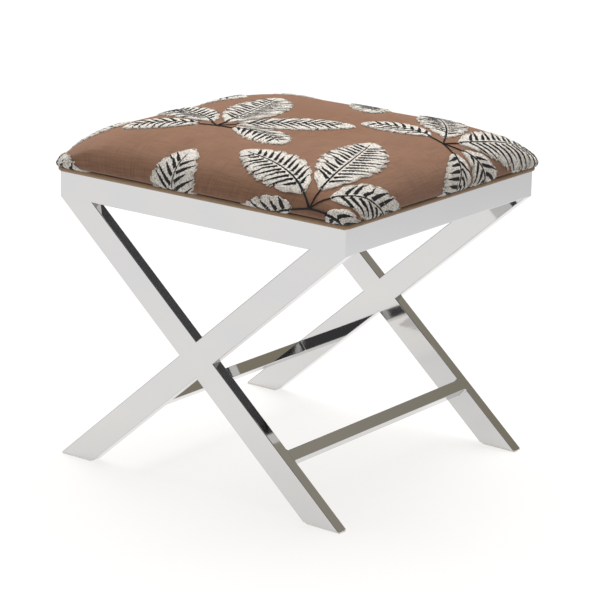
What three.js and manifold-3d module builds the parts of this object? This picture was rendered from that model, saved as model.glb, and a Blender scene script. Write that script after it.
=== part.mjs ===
// An upholstered stool on a welded frame of two polished steel X shapes.
// Millimetres, +Z up. X runs along the long front face, Y from front to rear, and the origin is
// on the floor under the middle of the stool.
import * as THREE from 'three';
import { mergeVertices } from 'three/addons/utils/BufferGeometryUtils.js';
import Module from 'manifold-3d';

const wasm = await Module();
wasm.setup();

// Overall sizes: the frame's plan, the crown's height, and how much of that is cushion
const frameWidth = 508;
const frameDepth = 458;
const seatHeight = 499;
const cushionHeight = 70;

// Steel tube of the frame
const railHeight = 38;
const legWidth = 40;
const tubeThick = 18;
const tubeWall = 1.5;
const tubeRadius = 2;
const tubeInnerRadius = 0.5;
const stretcherSide = 18;
const weldGap = 0.3;

// How far the feet's outer corners stand past the rails' ends, and how far up the leg the
// stretcher's middle is
const footOverhang = 3;
const stretcherUp = 132;

// Plastic glides under the feet
const glideHeight = 2;
const glideInset = 0.8;
const plugDepth = 12;
const plugGap = 0.3;

// Corner plates, and the screws, washers and tee nuts that hold the seat down
const plateSide = 58;
const plateTip = 10;
const plateThick = 3;
const plateDrop = 2.5;
const screwInset = 20;
const screwRadius = 2.7;
const screwGap = 0.6;
const headRadius = 6;
const headHeight = 3.4;
const headFlatShare = 0.6;
const headEdgeShare = 0.9;
const headEdgeHeightShare = 0.4;
const socketRadius = 2.3;
const socketDepth = 2;
const washerRadius = 7.5;
const washerThick = 1.2;
const barrelRadius = 4;
const barrelDepth = 8.5;
const flangeRadius = 9;
const flangeThick = 1.5;
const nutGap = 0.3;
const screwShort = 1;
const cutOverrun = 1;

// Layers of the seat
const tapeThick = 1;
const deckThick = 12;
const deckInset = 4.5;
const deckCornerRadius = 2;
const coverThick = 1.2;
const waddingThick = 8;
const softGap = 0.3;
const returnGap = 3.3;

// The cushion's form: how far it bulges past the frame, how high up, its corners there, and the
// curve of its crown
const bulgeReach = 10.5;
const bulgeHeight = 12.5;
const bulgeCornerRadius = 25.5;
const crownCornerRadius = 118;
const crownSidePower = 0.4;
const crownTopPower = 0.94;

// Welt and dust cover
const cordRadius = 3.7;
const weltGap = 1.3;
const tapeReturn = 8;
const dustThick = 1;
const dustGap = 1;

// Fineness of the round shapes
const cornerSteps = 5;
const tubeCornerSteps = 2;
const crownSteps = 9;
const lipSteps = 3;
const turnedSteps = 16;
const cordSteps = 8;

// Places worked out from the sizes above
const halfWidth = frameWidth / 2;
const halfDepth = frameDepth / 2;
const frameHeight = seatHeight - cushionHeight;
const railBottom = frameHeight - railHeight;
const innerHalfWidth = halfWidth - tubeThick;
const innerHalfDepth = halfDepth - tubeThick;
const coverBottom = frameHeight + Math.max(tapeThick, dustThick);
const deckBottom = coverBottom + coverThick;
const deckTop = deckBottom + deckThick;
const deckReach = -deckInset;
const foamReach = bulgeReach - coverThick - waddingThick - 2 * softGap;
const foamTop = seatHeight - coverThick - waddingThick - 2 * softGap;
const coverFootReach = deckReach + softGap + coverThick;
const coverReturn = tubeThick + screwInset - screwRadius - returnGap;
const weltReach = coverFootReach + weltGap + 2 * cordRadius;
const cordHeight = frameHeight + cordRadius;
const lipBottom = cordHeight + cordRadius + softGap;
const bulgeTop = coverBottom + bulgeHeight;
const plateTop = frameHeight - plateDrop;
const screwX = innerHalfWidth - screwInset;
const screwY = innerHalfDepth - screwInset;

// Materials
const steel = new THREE.MeshStandardMaterial({ color: 0xd5d5d5, roughness: 0.06, metalness: 1 });
const zinc = new THREE.MeshStandardMaterial({ color: 0xa9abaf, roughness: 0.35, metalness: 1 });
const nylon = new THREE.MeshStandardMaterial({ color: 0xdedad6, roughness: 0.45, metalness: 0 });
const plywood = new THREE.MeshStandardMaterial({ color: 0xc9a678, roughness: 0.75, metalness: 0 });
const foam = new THREE.MeshStandardMaterial({ color: 0xe8dfb8, roughness: 0.95, metalness: 0 });
const wadding = new THREE.MeshStandardMaterial({ color: 0xf1efe9, roughness: 1, metalness: 0 });
const linen = new THREE.MeshStandardMaterial({ color: 0x8a6a54, roughness: 0.9, metalness: 0 });
const weltCloth = new THREE.MeshStandardMaterial({ color: 0x7a5f48, roughness: 0.9, metalness: 0 });
const blackCloth = new THREE.MeshStandardMaterial({ color: 0x1b1b1d, roughness: 0.95, metalness: 0 });

const stool = new THREE.Group();

function addPart(name, geometry, material) {
  const mesh = new THREE.Mesh(geometry, material);
  mesh.name = name;
  stool.add(mesh);
}

// Points of a rectangle with round corners, anticlockwise from the right side
function roundedRectangle(halfX, halfY, radius, steps) {
  const points = [];
  for (let quarter = 0; quarter < 4; quarter += 1) {
    const signX = quarter === 0 || quarter === 3 ? 1 : -1;
    const signY = quarter < 2 ? 1 : -1;
    for (let i = 0; i <= steps; i += 1) {
      const angle = (quarter + i / steps) * Math.PI / 2;
      const x = signX * (halfX - radius) + radius * Math.cos(angle);
      const y = signY * (halfY - radius) + radius * Math.sin(angle);
      points.push(new THREE.Vector2(x, y));
    }
  }
  return points;
}

function circlePoints(x, y, radius, steps) {
  const points = [];
  for (let i = 0; i < steps; i += 1) {
    const angle = 2 * Math.PI * i / steps;
    points.push(new THREE.Vector2(x + radius * Math.cos(angle), y + radius * Math.sin(angle)));
  }
  return points;
}

function extrudeUp(shape, bottom, height) {
  const geometry = new THREE.ExtrudeGeometry(shape, { depth: height, bevelEnabled: false });
  geometry.translate(0, 0, bottom);
  return geometry;
}

// A closed mesh as a solid that can be joined and cut, and back again
function toSolid(geometry) {
  const bare = geometry.clone();
  bare.deleteAttribute('normal');
  bare.deleteAttribute('uv');
  const merged = mergeVertices(bare);
  return new wasm.Manifold(new wasm.Mesh({
    numProp: 3,
    vertProperties: Float32Array.from(merged.attributes.position.array),
    triVerts: Uint32Array.from(merged.index.array),
  }));
}

function fromSolid(solid) {
  const mesh = solid.getMesh();
  const geometry = new THREE.BufferGeometry();
  geometry.setAttribute('position', new THREE.BufferAttribute(new Float32Array(mesh.vertProperties), 3));
  geometry.setIndex(new THREE.BufferAttribute(new Uint32Array(mesh.triVerts), 1));
  return geometry;
}

// A cutting plane through a point, given by its normal
function plane(point, normal) {
  return { point, normal };
}

function level(z) {
  return plane(new THREE.Vector3(0, 0, z), new THREE.Vector3(0, 0, 1));
}

// A bar swept along a direction. Its section lies across: `up` is the side that `halfUp` measures.
// Each end is cut by a plane, so its corners slide along the bar until they meet that plane.
function bar({ centre, along, up, halfUp, halfThick, radius, wall, from, to }) {
  const side = new THREE.Vector3().crossVectors(along, up);
  const shape = new THREE.Shape(roundedRectangle(halfUp, halfThick, radius, tubeCornerSteps));
  if (wall > 0) {
    shape.holes.push(new THREE.Path(
      roundedRectangle(halfUp - wall, halfThick - wall, tubeInnerRadius, tubeCornerSteps)));
  }
  const geometry = new THREE.ExtrudeGeometry(shape, { depth: 1, bevelEnabled: false });
  const position = geometry.attributes.position;
  for (let i = 0; i < position.count; i += 1) {
    const end = position.getZ(i) > 0 ? to : from;
    const corner = centre.clone()
      .addScaledVector(up, position.getX(i))
      .addScaledVector(side, position.getY(i));
    const reach = end.point.clone().sub(corner).dot(end.normal) / along.dot(end.normal);
    corner.addScaledVector(along, reach);
    position.setXYZ(i, corner.x, corner.y, corner.z);
  }
  return geometry;
}

// The leg's slope. Its lower edge starts at the rail's bottom corner, and its upper edge comes to the
// floor at the foot's outer corner. So the lower edge's run across the stool solves
// legRun + legWidth * hypot(legRun, railBottom) / railBottom = footSpan.
const footSpan = frameWidth + footOverhang;
const lean = legWidth / railBottom;
const leanLeft = 1 - lean ** 2;
const legRun = (footSpan - lean * Math.sqrt(footSpan ** 2 + leanLeft * railBottom ** 2)) / leanLeft;
const legLength = Math.hypot(legRun, railBottom);
const slopeCos = legRun / legLength;
const slopeSin = railBottom / legLength;

// A leg that falls towards +X for hand 1 and towards -X for hand -1, in the frame at the given face
function legAxes(hand, face) {
  const along = new THREE.Vector3(hand * slopeCos, 0, -slopeSin);
  const up = new THREE.Vector3(hand * slopeSin, 0, slopeCos);
  const centre = new THREE.Vector3(-hand * halfWidth, face * (halfDepth - tubeThick / 2), railBottom);
  centre.addScaledVector(up, legWidth / 2);
  return { along, up, centre };
}

function legBar(axes, from, to) {
  return bar({
    ...axes,
    halfUp: legWidth / 2,
    halfThick: tubeThick / 2,
    radius: tubeRadius,
    wall: tubeWall,
    from,
    to,
  });
}

// One X: a long leg through the crossing, and two half legs that are welded to its edges
function addCrossedLegs(prefix, face) {
  const hand = -face;
  const long = legAxes(hand, face);
  const short = legAxes(-hand, face);
  const seam = legWidth / 2 + weldGap;
  const overLong = plane(long.centre.clone().addScaledVector(long.up, seam), long.up);
  const underLong = plane(long.centre.clone().addScaledVector(long.up, -seam), long.up);
  addPart(`${prefix}_long_leg`, legBar(long, level(railBottom), level(glideHeight)), steel);
  addPart(`${prefix}_upper_half_leg`, legBar(short, level(railBottom), overLong), steel);
  addPart(`${prefix}_lower_half_leg`, legBar(short, underLong, level(glideHeight)), steel);
}

addCrossedLegs('front', -1);
addCrossedLegs('rear', 1);

// The four top rails meet in mitres at the corners
function addTopRail(name, along, halfLength, halfOut) {
  const outward = new THREE.Vector3(along.y, -along.x, 0);
  const up = new THREE.Vector3(0, 0, 1);
  const centre = outward.clone().multiplyScalar(halfOut - tubeThick / 2);
  centre.z = frameHeight - railHeight / 2;
  const seam = weldGap / 2;
  const mitre = (end) => {
    const normal = along.clone().multiplyScalar(end).sub(outward).normalize();
    const corner = outward.clone().multiplyScalar(halfOut).addScaledVector(along, end * halfLength);
    return plane(corner.addScaledVector(normal, -seam), normal);
  };
  addPart(name, bar({
    centre,
    along,
    up,
    halfUp: railHeight / 2,
    halfThick: tubeThick / 2,
    radius: tubeRadius,
    wall: tubeWall,
    from: mitre(-1),
    to: mitre(1),
  }), steel);
}

addTopRail('front_top_rail', new THREE.Vector3(1, 0, 0), halfWidth, halfDepth);
addTopRail('rear_top_rail', new THREE.Vector3(-1, 0, 0), halfWidth, halfDepth);
addTopRail('right_end_rail', new THREE.Vector3(0, 1, 0), halfDepth, halfWidth);
addTopRail('left_end_rail', new THREE.Vector3(0, -1, 0), halfDepth, halfWidth);

// The stretchers join the two frames near the feet, flush with the legs' upper edges
function addStretcher(name, hand) {
  const { along, up, centre } = legAxes(hand, 1);
  const floorReach = centre.z / slopeSin + legWidth / 2 * slopeCos / slopeSin;
  centre.addScaledVector(along, floorReach - stretcherUp);
  centre.addScaledVector(up, legWidth / 2 - stretcherSide / 2);
  const across = new THREE.Vector3(0, 1, 0);
  addPart(name, bar({
    centre,
    along: across,
    up,
    halfUp: stretcherSide / 2,
    halfThick: stretcherSide / 2,
    radius: tubeRadius,
    wall: tubeWall,
    from: plane(new THREE.Vector3(0, -innerHalfDepth, 0), across),
    to: plane(new THREE.Vector3(0, innerHalfDepth, 0), across),
  }), steel);
}

addStretcher('right_stretcher', 1);
addStretcher('left_stretcher', -1);

// A glide: a pad under the leg's end, and a plug that goes up into the tube
function addGlide(name, hand, face) {
  const axes = legAxes(hand, face);
  const pad = bar({
    ...axes,
    halfUp: legWidth / 2 - glideInset,
    halfThick: tubeThick / 2 - glideInset,
    radius: tubeRadius,
    wall: 0,
    from: level(glideHeight),
    to: level(0),
  });
  const plug = bar({
    ...axes,
    halfUp: legWidth / 2 - tubeWall - plugGap,
    halfThick: tubeThick / 2 - tubeWall - plugGap,
    radius: tubeRadius,
    wall: 0,
    from: level(glideHeight + plugDepth),
    to: level(glideHeight / 2),
  });
  addPart(name, fromSolid(toSolid(pad).add(toSolid(plug))), nylon);
}

addGlide('foot_glide_front_left', -1, -1);
addGlide('foot_glide_front_right', 1, -1);
addGlide('foot_glide_rear_left', -1, 1);
addGlide('foot_glide_rear_right', 1, 1);

// The four corners, for the pieces that hold the seat down
const corners = [
  { name: 'front_left', x: -1, y: -1 },
  { name: 'front_right', x: 1, y: -1 },
  { name: 'rear_left', x: -1, y: 1 },
  { name: 'rear_right', x: 1, y: 1 },
];

// A plate welded into the corner between two rails, with its hole for the seat screw
function addCornerPlate({ name, x, y }) {
  const outline = [
    [innerHalfWidth, innerHalfDepth],
    [innerHalfWidth, innerHalfDepth - plateSide],
    [innerHalfWidth - plateTip, innerHalfDepth - plateSide],
    [innerHalfWidth - plateSide, innerHalfDepth - plateTip],
    [innerHalfWidth - plateSide, innerHalfDepth],
  ];
  const shape = new THREE.Shape(outline.map(([px, py]) => new THREE.Vector2(x * px, y * py)));
  shape.holes.push(new THREE.Path(
    circlePoints(x * screwX, y * screwY, screwRadius + screwGap, turnedSteps)));
  addPart(`corner_plate_${name}`, extrudeUp(shape, plateTop - plateThick, plateThick), steel);
}

// Turned pieces round a screw's axis, from a profile of radius and height
function turned(profile, corner) {
  const points = profile.map(([radius, height]) => new THREE.Vector2(radius, height));
  const geometry = new THREE.LatheGeometry(points, turnedSteps);
  geometry.rotateX(Math.PI / 2);
  geometry.translate(corner.x * screwX, corner.y * screwY, 0);
  return geometry;
}

const washerTop = plateTop - plateThick;
const headTop = washerTop - washerThick;
const nutTop = deckTop;
const screwEnd = nutTop - screwShort;

function addSeatScrew(corner) {
  const headBottom = headTop - headHeight;
  addPart(`seat_screw_${corner.name}`, turned([
    [0, headBottom + socketDepth],
    [socketRadius, headBottom + socketDepth],
    [socketRadius, headBottom],
    [headRadius * headFlatShare, headBottom],
    [headRadius * headEdgeShare, headBottom + headHeight * headEdgeHeightShare],
    [headRadius, headTop],
    [screwRadius, headTop],
    [screwRadius, screwEnd],
    [0, screwEnd],
  ], corner), zinc);
}

function addSeatWasher(corner) {
  addPart(`seat_washer_${corner.name}`, turned([
    [screwRadius + screwGap, headTop],
    [washerRadius, headTop],
    [washerRadius, washerTop],
    [screwRadius + screwGap, washerTop],
    [screwRadius + screwGap, headTop],
  ], corner), zinc);
}

// A tee nut: its barrel goes down into the deck and its flange is let in flush on top
function addTeeNut(corner) {
  const bore = screwRadius + nutGap;
  const flangeBottom = nutTop - flangeThick;
  addPart(`tee_nut_${corner.name}`, turned([
    [bore, flangeBottom - barrelDepth],
    [barrelRadius, flangeBottom - barrelDepth],
    [barrelRadius, flangeBottom],
    [flangeRadius, flangeBottom],
    [flangeRadius, nutTop],
    [bore, nutTop],
    [bore, flangeBottom - barrelDepth],
  ], corner), zinc);
}

corners.forEach((corner) => {
  addCornerPlate(corner);
  addSeatScrew(corner);
  addSeatWasher(corner);
  addTeeNut(corner);
});

// The seat's foot follows the deck: its outline at a reach past the frame's edge
function footRadius(reach) {
  return Math.max(deckCornerRadius + reach - deckReach, deckCornerRadius);
}

function footOutline(reach) {
  return roundedRectangle(halfWidth + reach, halfDepth + reach, footRadius(reach), cornerSteps);
}

// The plywood deck, with a stepped hole for each tee nut
function addDeck() {
  const outline = new THREE.Shape(footOutline(deckReach));
  let deck = toSolid(extrudeUp(outline, deckBottom, deckThick));
  corners.forEach((corner) => {
    const barrelHole = new THREE.CylinderGeometry(
      barrelRadius + nutGap, barrelRadius + nutGap, deckThick + 2 * cutOverrun, turnedSteps);
    barrelHole.rotateX(Math.PI / 2);
    barrelHole.translate(corner.x * screwX, corner.y * screwY, deckBottom + deckThick / 2);
    const flangeHole = new THREE.CylinderGeometry(
      flangeRadius + nutGap, flangeRadius + nutGap, flangeThick + cutOverrun, turnedSteps);
    flangeHole.rotateX(Math.PI / 2);
    flangeHole.translate(
      corner.x * screwX, corner.y * screwY, deckTop - flangeThick + (flangeThick + cutOverrun) / 2);
    deck = deck.subtract(toSolid(barrelHole)).subtract(toSolid(flangeHole));
  });
  addPart('seat_deck', fromSolid(deck), plywood);
}

addDeck();

// The black cloth under the deck, with holes for the screws
function addDustCover() {
  const shape = new THREE.Shape(footOutline(-(tapeReturn + dustGap)));
  corners.forEach((corner) => {
    shape.holes.push(new THREE.Path(circlePoints(
      corner.x * screwX, corner.y * screwY, screwRadius + screwGap, turnedSteps)));
  });
  addPart('dust_cover', extrudeUp(shape, frameHeight, dustThick), blackCloth);
}

addDustCover();

function lift(outline, z) {
  return outline.map((point) => new THREE.Vector3(point.x, point.y, z));
}

function footRing(reach, z) {
  return lift(footOutline(reach), z);
}

// The radius of the cushion's corners where it is widest, in each of its layers
function bulgeRadius(reach) {
  return bulgeCornerRadius + reach - bulgeReach;
}

// Rings of the crown from the widest one up, without the point in the middle
function crownRings(reach, bottom, top) {
  const rings = [];
  for (let i = 0; i < crownSteps; i += 1) {
    const angle = i / crownSteps * Math.PI / 2;
    const spread = Math.cos(angle) ** crownSidePower;
    const rise = Math.sin(angle) ** crownTopPower;
    const widest = bulgeRadius(reach);
    const radius = (widest + (crownCornerRadius - widest) * Math.sin(angle)) * spread;
    const ring = roundedRectangle(
      (halfWidth + reach) * spread, (halfDepth + reach) * spread, radius, cornerSteps);
    rings.push(lift(ring, bottom + (top - bottom) * rise));
  }
  return rings;
}

// The lip where the cloth rolls out over the welt, from its foot up to the widest ring
function lipRings(footReach, reach, bottom, top) {
  const rings = [];
  for (let i = 0; i < lipSteps; i += 1) {
    const angle = i / lipSteps * Math.PI / 2;
    const share = Math.sin(angle);
    const out = footReach + (reach - footReach) * share;
    const radius = footRadius(footReach) + (bulgeRadius(reach) - footRadius(footReach)) * share;
    const ring = roundedRectangle(halfWidth + out, halfDepth + out, radius, cornerSteps);
    rings.push(lift(ring, bottom + (top - bottom) * (1 - Math.cos(angle))));
  }
  return rings;
}

// A closed body through rings with equal counts of points. A ring of one point ends it in a fan,
// and without such ends the last ring joins the first.
function loft(rings) {
  const positions = [];
  const starts = rings.map((ring) => {
    const start = positions.length / 3;
    ring.forEach((point) => positions.push(point.x, point.y, point.z));
    return start;
  });
  const index = [];
  const ended = rings[0].length === 1;
  const spans = ended ? rings.length - 1 : rings.length;
  const count = rings[1].length;
  for (let i = 0; i < spans; i += 1) {
    const next = (i + 1) % rings.length;
    for (let j = 0; j < count; j += 1) {
      const k = (j + 1) % count;
      if (rings[i].length === 1) {
        index.push(starts[i], starts[next] + j, starts[next] + k);
      } else if (rings[next].length === 1) {
        index.push(starts[i] + j, starts[next], starts[i] + k);
      } else {
        index.push(starts[i] + j, starts[next] + j, starts[next] + k);
        index.push(starts[i] + j, starts[next] + k, starts[i] + k);
      }
    }
  }
  const geometry = new THREE.BufferGeometry();
  geometry.setAttribute('position', new THREE.Float32BufferAttribute(positions, 3));
  geometry.setIndex(index);
  return geometry;
}

function middlePoint(z) {
  return [new THREE.Vector3(0, 0, z)];
}

// Crowned foam, glued to the deck
addPart('seat_foam', loft([
  middlePoint(foamTop),
  ...crownRings(foamReach, deckTop, foamTop).reverse(),
  middlePoint(deckTop),
]), foam);

// Wadding over the foam, and in under the foam's edge to the deck
const waddingReach = bulgeReach - coverThick - softGap;
const waddingFoot = deckReach + softGap;
addPart('seat_wadding', loft([
  middlePoint(seatHeight - coverThick - softGap),
  ...crownRings(waddingReach, bulgeTop, seatHeight - coverThick - softGap).reverse(),
  ...lipRings(waddingFoot, waddingReach, lipBottom + coverThick + softGap, bulgeTop).reverse(),
  footRing(waddingFoot, deckTop),
  ...crownRings(foamReach + softGap, deckTop, foamTop + softGap),
  middlePoint(foamTop + softGap),
]), wadding);

// The cover: over the crown, round the lip, down the deck's edge and under the deck
addPart('seat_cover', loft([
  middlePoint(seatHeight),
  ...crownRings(bulgeReach, bulgeTop, seatHeight).reverse(),
  ...lipRings(coverFootReach, bulgeReach, lipBottom, bulgeTop).reverse(),
  footRing(coverFootReach, coverBottom),
  footRing(-coverReturn, coverBottom),
  footRing(-coverReturn, deckBottom),
  footRing(coverFootReach - coverThick, deckBottom),
  ...lipRings(coverFootReach - coverThick, bulgeReach - coverThick, lipBottom + coverThick, bulgeTop),
  ...crownRings(bulgeReach - coverThick, bulgeTop, seatHeight - coverThick),
  middlePoint(seatHeight - coverThick),
]), linen);

// The welt: a cord outside the cover's foot, with a tape that is stapled down between the rail
// and the cover
function addWelt() {
  const cordReach = weltReach - cordRadius;
  const tapeTop = frameHeight + tapeThick;
  const tapeEnd = cordReach - Math.sqrt(cordRadius ** 2 - (tapeTop - cordHeight) ** 2);
  const start = Math.PI - Math.asin((tapeTop - cordHeight) / cordRadius);
  const end = -Math.PI / 2;
  const rings = [footRing(tapeEnd, tapeTop)];
  for (let i = 1; i < cordSteps; i += 1) {
    const angle = start + (end - start) * i / cordSteps;
    rings.push(footRing(
      cordReach + cordRadius * Math.cos(angle), cordHeight + cordRadius * Math.sin(angle)));
  }
  rings.push(footRing(cordReach, frameHeight));
  rings.push(footRing(-tapeReturn, frameHeight));
  rings.push(footRing(-tapeReturn, tapeTop));
  addPart('welt', loft(rings), weltCloth);
}

addWelt();

export default stool;
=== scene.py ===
"""Looks of an upholstered stool on a welded frame of two polished steel X shapes.

Metres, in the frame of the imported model: X along the long front face, Y from front to rear, Z up.
"""
import bisect
import math

import bmesh
import bpy
from mathutils import Matrix, Vector, noise
from mathutils.bvhtree import BVHTree
from mathutils.geometry import barycentric_transform, tessellate_polygon


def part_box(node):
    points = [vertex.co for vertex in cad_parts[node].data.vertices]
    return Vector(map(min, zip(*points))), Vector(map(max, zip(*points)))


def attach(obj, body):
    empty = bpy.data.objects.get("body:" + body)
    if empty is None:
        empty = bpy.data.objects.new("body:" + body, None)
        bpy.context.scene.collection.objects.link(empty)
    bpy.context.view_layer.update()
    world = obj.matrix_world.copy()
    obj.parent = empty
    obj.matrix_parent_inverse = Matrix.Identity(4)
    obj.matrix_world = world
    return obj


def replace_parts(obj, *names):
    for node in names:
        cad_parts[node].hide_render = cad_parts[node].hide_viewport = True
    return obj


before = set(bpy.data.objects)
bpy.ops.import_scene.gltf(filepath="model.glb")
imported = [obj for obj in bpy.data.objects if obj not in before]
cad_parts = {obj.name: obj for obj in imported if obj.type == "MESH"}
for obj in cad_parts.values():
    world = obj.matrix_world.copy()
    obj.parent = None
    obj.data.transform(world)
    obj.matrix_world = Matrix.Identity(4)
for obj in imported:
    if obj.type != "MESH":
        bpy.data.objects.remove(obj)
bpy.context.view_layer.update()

MM = 0.001

# The photograph's view
CAMERA_PLACE = Vector((2.230, -2.949, 1.302))
CAMERA_AZIMUTH = math.radians(37.0)
CAMERA_ELEVATION = math.radians(16.03)
CAMERA_ROLL = math.radians(1.19)
LENS = 157.8
SENSOR = 36
CLIP = (0.1, 100)
FLOOR_HALF = 30
# The floor's glow: painted warm light near the stool, and painted shade, dimmer and cooler, off
# towards +X and +Y
FLOOR_PAINTED_WARM_LIGHT = (0.80, 0.787, 0.772)
FLOOR_FAR = (0.76, 0.76, 0.765)
FLOOR_PAINTED_SHADE = (0.515, 0.52, 0.54)
FLOOR_SHADE_WAY = (0.8, 0.6, 0)

# Studio light
KEY_ENERGY = 5.4
KEY_ANGLE = math.radians(70)
KEY_TURN = (math.radians(-24), math.radians(-19), 0)
FILL_ENERGY = 0.8
FILL_ANGLE = math.radians(100)
FILL_TURN = (math.radians(55), math.radians(-26), 0)
ROOM_DARK = (0.075, 0.075, 0.08)
ROOM_STOPS = [
    (0.0, (0.36, 0.36, 0.365)),
    (0.2, (0.323, 0.314, 0.289)),
    (0.52, (0.255, 0.23, 0.166)),
    (0.6, (0.34, 0.314, 0.263)),
    (1.0, (0.425, 0.425, 0.425)),
]

# Sizes of the steel that the nodes' boxes don't give
LEG_WIDTH = 40 * MM
FOOT_OVERHANG = 3 * MM
EDGE_RADIUS = 1.2 * MM
EDGE_STEPS = 4
WELD_REACH = 3.5 * MM
WELD_STEPS = 5
STEEL_WAVES = 9.0
STEEL_WAVE_HEIGHT = 0.25 * MM

# The cushion's form, as its CAD solid has it
BULGE_CORNER = 25.5 * MM
BULGE_HEIGHT = 12.5 * MM
CROWN_CORNER = 118 * MM
CROWN_SIDE_POWER = 0.4
CROWN_TOP_POWER = 0.94
FOOT_REACH = -3 * MM
FOOT_CORNER = 3.5 * MM
CORD_RADIUS = 3.7 * MM
LIP_GAP = 0.3 * MM
CROWN_STEPS = 84
LIP_STEPS = 9
CORNER_STEPS = 16
ROUNDEST = 0.999
SIDE_STEPS = 40

# The simulation: where it starts from, and what holds it
START_REACH = 1 * MM
START_CORNER = 21.5 * MM
START_DROP = 2.5 * MM
VOXEL = 5 * MM
SIM_FRAMES = 20
CLOTH_SETTINGS = {
    "quality": 5, "mass": 0.3, "tension_stiffness": 15, "compression_stiffness": 15,
    "shear_stiffness": 5, "bending_stiffness": 0.5, "pin_stiffness": 1.0,
    "use_pressure": True, "uniform_pressure_force": 4.0,
}
SIM_CAP = 5 * MM
FOAM_HOLD = 0.1
HOLD_FADE = 4 * MM

# Where the stuffing lies fuller or thinner: a place on the seat, how far it spreads, and how much
STUFFING = [
    (245 * MM, 215 * MM, 45 * MM, Vector((0.7, 0.4, -1.8)) * MM),
    (-236 * MM, -205 * MM, 40 * MM, Vector((1.9, 1.6, -2.2)) * MM),
]
STUFFING_RISE = 8 * MM

# Fasteners and their plates
TURNED_STEPS = 48
SOCKET_RADIUS = 2.1 * MM
SOCKET_DEPTH = 2 * MM
SCREW_RADIUS = 2.7 * MM
HEAD_FLAT_SHARE = 0.55
DOME_STEPS = 7
CHAMFER = 0.25 * MM
WASHER_HOLE = 3.3 * MM
PLATE_SIDE = 58 * MM
PLATE_BEVEL = 0.35 * MM
GLIDE_BEVEL = 0.3 * MM
BEAD_RADIUS = 2.2 * MM
BEAD_END = 9 * MM
BEAD_PITCH = 2.4 * MM
BEAD_RIPPLE = 0.35 * MM
BEAD_STEPS = 5

# The welt, and the cloth pieces under the seat
WELT_REACH = 2 * MM
WELT_CORNER = 8.5 * MM
WELT_SEAM = 6 * MM
SEAM_NOTCH = 1.7 * MM
SEAM_WIDTH = 0.8 * MM
WELT_STEP = 3 * MM
WELT_CORNER_STEPS = 12
WELT_AROUND = 14
WELT_EASE = 0.08 * MM
WELT_UNEVEN = 0.10 * MM
WELT_RISE = 0.12 * MM
WELT_LIFT = 0.03 * MM
TAPE_INSIDE = 8 * MM
TAPE_THICK = 0.95 * MM
TAPE_LIFT = 0.02 * MM
DUST_GRID = (99, 89)
DUST_LOW = 0.1 * MM
DUST_HIGH = 0.7 * MM
DUST_WAVE = 0.12 * MM

# The tufted leaves' yarn: how high its loops stand, how far their feet go down, and its spacing
PILE = 2.4 * MM
PILE_UNEVEN = 0.8 * MM
ROOT_DEPTH = 0.4 * MM
LOOP = 2.1 * MM
LEAF_GRID = 1.8 * MM
LEAF_END_SHARE = 0.03
STRAND_PITCH = 1.7 * MM
STRAND_EDGE = 0.45
VEIN_LIFT = 0.35 * MM
VEIN_UNEVEN = 0.3 * MM
VEIN_PITCH = 15 * MM
VEIN_STEP = 1.6 * MM
MIDRIB_STEP = 2 * MM
# A generic half-drop repeat of fanned sprays
REPEAT_X = 285 * MM
REPEAT_Y = 310 * MM
FIRST_X = -75 * MM
FIRST_Y = -95 * MM
DRAPE_LIMIT = 0.985
DRAPE_OVER = 0.004
DRAPE_FADE = 0.012
LEAST_SHOWN = 0.2
STEM = 26 * MM
STEM_WIDTH = 2.4 * MM
STEM_LIFT = 1.6 * MM
# A loose strand's width and lift at its foot, its middle and its end
STRAND = [(1.7 * MM, PILE * 0.9), (1.5 * MM, PILE * 0.75), (0.4 * MM, 0.5 * MM)]
# Each leaf of a spray: its turn in degrees, its length and width in millimetres, and its bend
SPRAY = [(-4, 196, 86, 0.25), (43, 160, 71, 0.5), (-51, 165, 73, -0.5),
         (91, 118, 57, 0.7), (-98, 122, 59, -0.7)]


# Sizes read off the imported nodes

rail_low, rail_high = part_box("front_top_rail")
HALF_WIDTH = rail_high.x
HALF_DEPTH = -rail_low.y
TUBE_THICK = rail_high.y - rail_low.y
RAIL_BOTTOM = rail_low.z
RAIL_TOP = rail_high.z
GLIDE_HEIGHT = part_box("front_long_leg")[0].z
INNER_WIDTH = HALF_WIDTH - TUBE_THICK
INNER_DEPTH = HALF_DEPTH - TUBE_THICK

foot_span = 2 * HALF_WIDTH + FOOT_OVERHANG
lean = LEG_WIDTH / RAIL_BOTTOM
lean_left = 1 - lean ** 2
LEG_RUN = (foot_span - lean * math.sqrt(foot_span ** 2 + lean_left * RAIL_BOTTOM ** 2)) / lean_left
SLOPE = math.atan2(RAIL_BOTTOM, LEG_RUN)
LEG_ALONG = Vector((math.cos(SLOPE), 0, -math.sin(SLOPE)))
LEG_UP = Vector((math.sin(SLOPE), 0, math.cos(SLOPE)))

cover_low, cover_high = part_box("seat_cover")
BULGE_REACH = cover_high.x - HALF_WIDTH
COVER_BOTTOM = cover_low.z
SEAT_TOP = cover_high.z
BULGE_TOP = COVER_BOTTOM + BULGE_HEIGHT
LIP_BOTTOM = RAIL_TOP + 2 * CORD_RADIUS + LIP_GAP


# Meshes

def linked(name, data):
    """A new object in the scene."""
    made = bpy.data.objects.new(name, data)
    bpy.context.scene.collection.objects.link(made)
    return made


def mesh_piece(name, points, faces, material, normals=None):
    """A new piece on the frame. normals, one for each corner of each face, keep flat metal flat."""
    mesh = bpy.data.meshes.new(name)
    mesh.from_pydata([tuple(p) for p in points], [], faces)
    mesh.polygons.foreach_set("use_smooth", [True] * len(faces))
    if normals:
        mesh.normals_split_custom_set([tuple(n) for n in normals])
    mesh.materials.append(material)
    piece = linked(name, mesh)
    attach(piece, "root")
    return piece


def grid_faces(first, columns, rows):
    return [(first + i * rows + j, first + (i + 1) * rows + j,
             first + (i + 1) * rows + j + 1, first + i * rows + j + 1)
            for i in range(columns - 1) for j in range(rows - 1)]


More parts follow.
